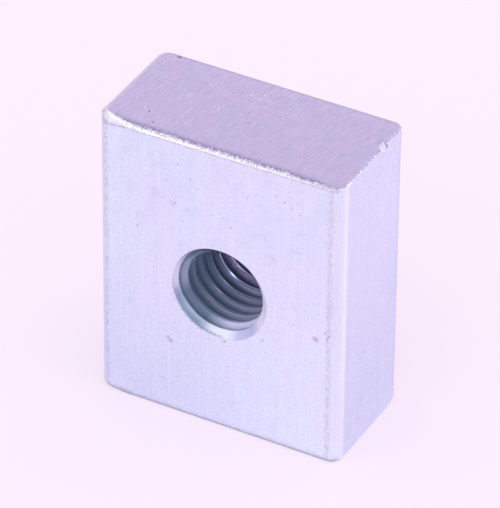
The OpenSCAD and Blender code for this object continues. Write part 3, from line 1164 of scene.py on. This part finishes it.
def tapped_zinc():
    """Zinc plate over a cut thread: lilac and bright on the countersinks, with painted light at their right, a
    painted highlight at their bottom and painted shade, a dark line, at their inner end; thin and dull grey on the
    turns, with painted light on them, one burnished crest and one spot of rust."""
    plate = zinc_plate("zinc_plate_on_tapped_thread", roughness=0.36)
    tree, spot = plate.tree, plate.spot
    sink_cut = add(tree, STORED, out="Fac", attribute_name="sink_cut")
    to_crest = add(tree, STORED, out="Fac", attribute_name="to_crest")
    countersunk = add(tree, RANGE, (sink_cut, -0.02, 0.02))
    way = from_bore(tree, spot)[1]
    rightwards = add(tree, SPLIT, [way], "X")
    on_right = add(tree, RANGE, (rightwards, 0.45, 0.9))
    ragged_y = add(tree, SPLIT, [warped(tree, spot, size=0.3, reach=0.35)], "Y")
    from_face = add(tree, MATH, (ragged_y, FRONT), operation="SUBTRACT")

    colour, crest = thread_turns(plate, to_crest)
    colour = painted_light_on_turns(plate, way, rightwards, to_crest, colour)
    colour = painted(tree, colour, sink_tints(tree, way, on_right, from_face), countersunk)
    # Painted shade at the inner end of each countersink
    colour = painted(tree, colour, LIP_SHADE, lip_shade(tree, way, rightwards, from_face, sink_cut))
    grain = stretched_noise(tree, spot, (0.2, 0.2, 0.2))
    colour = shaded(tree, colour, grain, contrast=0.2)
    uneven = warped(tree, spot, size=0.3, reach=0.4)
    rust = marks(tree, uneven, [(RUST_SPOT, (RUST_R, RUST_R, RUST_R), 0)])
    colour = painted(tree, colour, RUST_BROWN, rust, strength=0.6)

    # The burnished crest and the countersinks mirror, and the thin plate and the countersinks' right side scatter
    near_burnished = add(tree, RANGE, (off_by(tree, plate.place["Y"], BURNISHED_Y), 1.2, 0.5))
    burnished = overlap(tree, crest, near_burnished)
    bright = add(tree, MATH, (burnished, countersunk), operation="MAXIMUM")
    off_right = add(tree, MATH, (1.0, on_right), operation="SUBTRACT")
    pale_sink = overlap(tree, countersunk, on_right)
    least = add(tree, RANGE, (pale_sink, 0.0, 1.0, 0.3, 0.05))
    mirroring = add(tree, RANGE, (overlap(tree, bright, off_right), 0.0, 1.0, least, 1.0))
    roughness = add(tree, RANGE, (burnished, 0.0, 1.0, 0.36, 0.28))
    return finished(plate, {"Base Color": colour, "Metallic": mirroring, "Roughness": roughness})


# Studio: a pale floor in even light. The metal reflects a pale tent, bright at both sides and dim overhead

FLOOR_COLOUR = "#FEF0FF"
FLOOR_SIDE = 6.0
# Share of the floor's colour that the camera sees whatever light falls there, so that the shadow stays faint
FLOOR_GLOW = 0.6
# How bright the floor is in the metal, which shows no shadow on it
LEVEL_IN_METAL = 1.1
# Height as a sine of elevation, and the tent's linear colour there
TENT = [
    (0.00, (1.08, 0.98, 1.08)),
    (0.39, (0.95, 0.84, 0.95)),
    (0.57, (0.72, 0.578, 0.763)),
    (0.76, (0.50, 0.42, 0.56)),
]
# Bright panels of the tent: azimuth, elevation, inner and outer radius in degrees, and linear colour
PANELS = [
    (-45, 42, 25, 48, (1.25, 1.22, 1.27)),
    (70, 38, 25, 55, (1.30, 1.22, 1.32)),
    (25, 38, 6, 20, (0.95, 1.00, 1.02)),
    (146, 30, 4.0, 7.0, (9.0, 8.6, 9.0)),
]
# The floor's light: its level at the horizon, and how much it grows upwards and towards the front
FLOOR_LIGHT = 0.5
FLOOR_LIGHT_UP = 0.75
FLOOR_LIGHT_FRONT = 0.4


def heading(azimuth, elevation):
    """Unit vector towards an azimuth, 0 in front and 90 to the right, and an elevation."""
    a, e = math.radians(azimuth), math.radians(elevation)
    return Vector((math.sin(a) * math.cos(e), -math.cos(a) * math.cos(e), math.sin(e)))


def studio_floor():
    """A floor of matt pale paper that keeps a faint shadow."""
    bpy.ops.mesh.primitive_plane_add(size=FLOOR_SIDE)
    floor = bpy.context.object
    floor.name = "studio_floor"
    material = bpy.data.materials.new("matt_pale_paper")
    material.use_nodes = True
    tree = material.node_tree
    shader = tree.nodes["Principled BSDF"]
    shader.inputs["Base Color"].default_value = srgb(FLOOR_COLOUR)
    shader.inputs["Roughness"].default_value = 1.0
    shader.inputs["Specular IOR Level"].default_value = 0.0
    path = add(tree, "ShaderNodeLightPath").node.outputs
    mirrored = add(tree, MATH, (path["Is Glossy Ray"], path["Is Transmission Ray"]), operation="MAXIMUM")
    share = add(tree, MATH, (path["Is Camera Ray"], FLOOR_GLOW), operation="MULTIPLY")
    share = add(tree, MATH, (mirrored, share), operation="MAXIMUM")
    level = add(tree, RANGE, (mirrored, 0.0, 1.0, 1.0, LEVEL_IN_METAL))
    glow = add(tree, "ShaderNodeEmission", {"Color": srgb(FLOOR_COLOUR), "Strength": level})
    mixed = add(tree, "ShaderNodeMixShader", (share, shader.outputs["BSDF"], glow))
    tree.links.new(mixed, tree.nodes["Material Output"].inputs["Surface"])
    floor.data.materials.append(material)


def studio_tent():
    """The world: a pale tent for what the metal reflects, and even light for everything else."""
    world = bpy.data.worlds.new("studio_tent")
    bpy.context.scene.world = world
    world.use_nodes = True
    tree = world.node_tree
    way = add(tree, "ShaderNodeTexCoord", out="Generated")
    height = add(tree, SPLIT, [way], "Z")
    tent = add(tree, "ShaderNodeValToRGB", [height])
    elements = tent.node.color_ramp.elements
    while len(elements) < len(TENT):
        elements.new(1.0)
    for element, (position, colour) in zip(elements, TENT):
        element.position = position
        element.color = (*colour, 1.0)
    for azimuth, elevation, inner, outer, colour in PANELS:
        near = add(tree, VECTOR_MATH, (way, heading(azimuth, elevation)), "Value", operation="DOT_PRODUCT")
        reach = [math.cos(math.radians(v)) for v in (outer, inner)]
        share = add(tree, RANGE, (near, *reach), interpolation_type="SMOOTHSTEP")
        tent = painted(tree, tent, (*colour, 1.0), share)
    growth = heading(CAMERA_AZIMUTH, 0) * FLOOR_LIGHT_FRONT + Vector((0, 0, FLOOR_LIGHT_UP))
    grown = add(tree, VECTOR_MATH, (way, growth), "Value", operation="DOT_PRODUCT")
    floor_light = add(tree, MATH, (grown, FLOOR_LIGHT), operation="ADD")
    in_metal = add(tree, "ShaderNodeLightPath", out="Is Glossy Ray")
    light = painted(tree, floor_light, tent, in_metal)
    tree.links.new(light, tree.nodes["Background"].inputs["Color"])


# Camera: a long lens, from the right and above

# Angles in degrees, and the place of the camera from the middle of the front's foot, in millimetres
CAMERA_AZIMUTH = 28.415
CAMERA_ELEVATION = 35.485
CAMERA_ROLL = 0.573
CAMERA_DISTANCE = 602.1
CAMERA_RIGHT = 3.8994
CAMERA_UP = 20.1627
CAMERA_LENS = 360.4
CAMERA_SENSOR = 36.0
# How near the camera begins to see, in metres
CAMERA_NEAR = 0.01


def photo_camera():
    """The camera at the photo's viewing angle."""
    back = heading(CAMERA_AZIMUTH, CAMERA_ELEVATION)
    level = Vector((0, 0, 1)).cross(back).normalized()
    upright = back.cross(level)
    roll = math.radians(CAMERA_ROLL)
    across = level * math.cos(roll) + upright * math.sin(roll)
    up = upright * math.cos(roll) - level * math.sin(roll)
    place = Vector((0, FRONT, 0)) + across * CAMERA_RIGHT + up * CAMERA_UP + back * CAMERA_DISTANCE
    data = bpy.data.cameras.new("photo_camera")
    data.lens = CAMERA_LENS
    data.sensor_width = CAMERA_SENSOR
    data.clip_start = CAMERA_NEAR
    holder = bpy.data.objects.new("photo_camera", data)
    bpy.context.scene.collection.objects.link(holder)
    turned = Matrix((across, up, back)).transposed().to_4x4()
    holder.matrix_world = Matrix.Translation(place * MM) @ turned
    bpy.context.scene.camera = holder


bpy.context.scene.view_settings.view_transform = "Standard"
photo_camera()
studio_floor()
studio_tent()

nut = nut_piece([drawn_zinc(), sawn_zinc(), filed_zinc(), tapped_zinc()])
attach(nut, "root")
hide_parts(NODE)
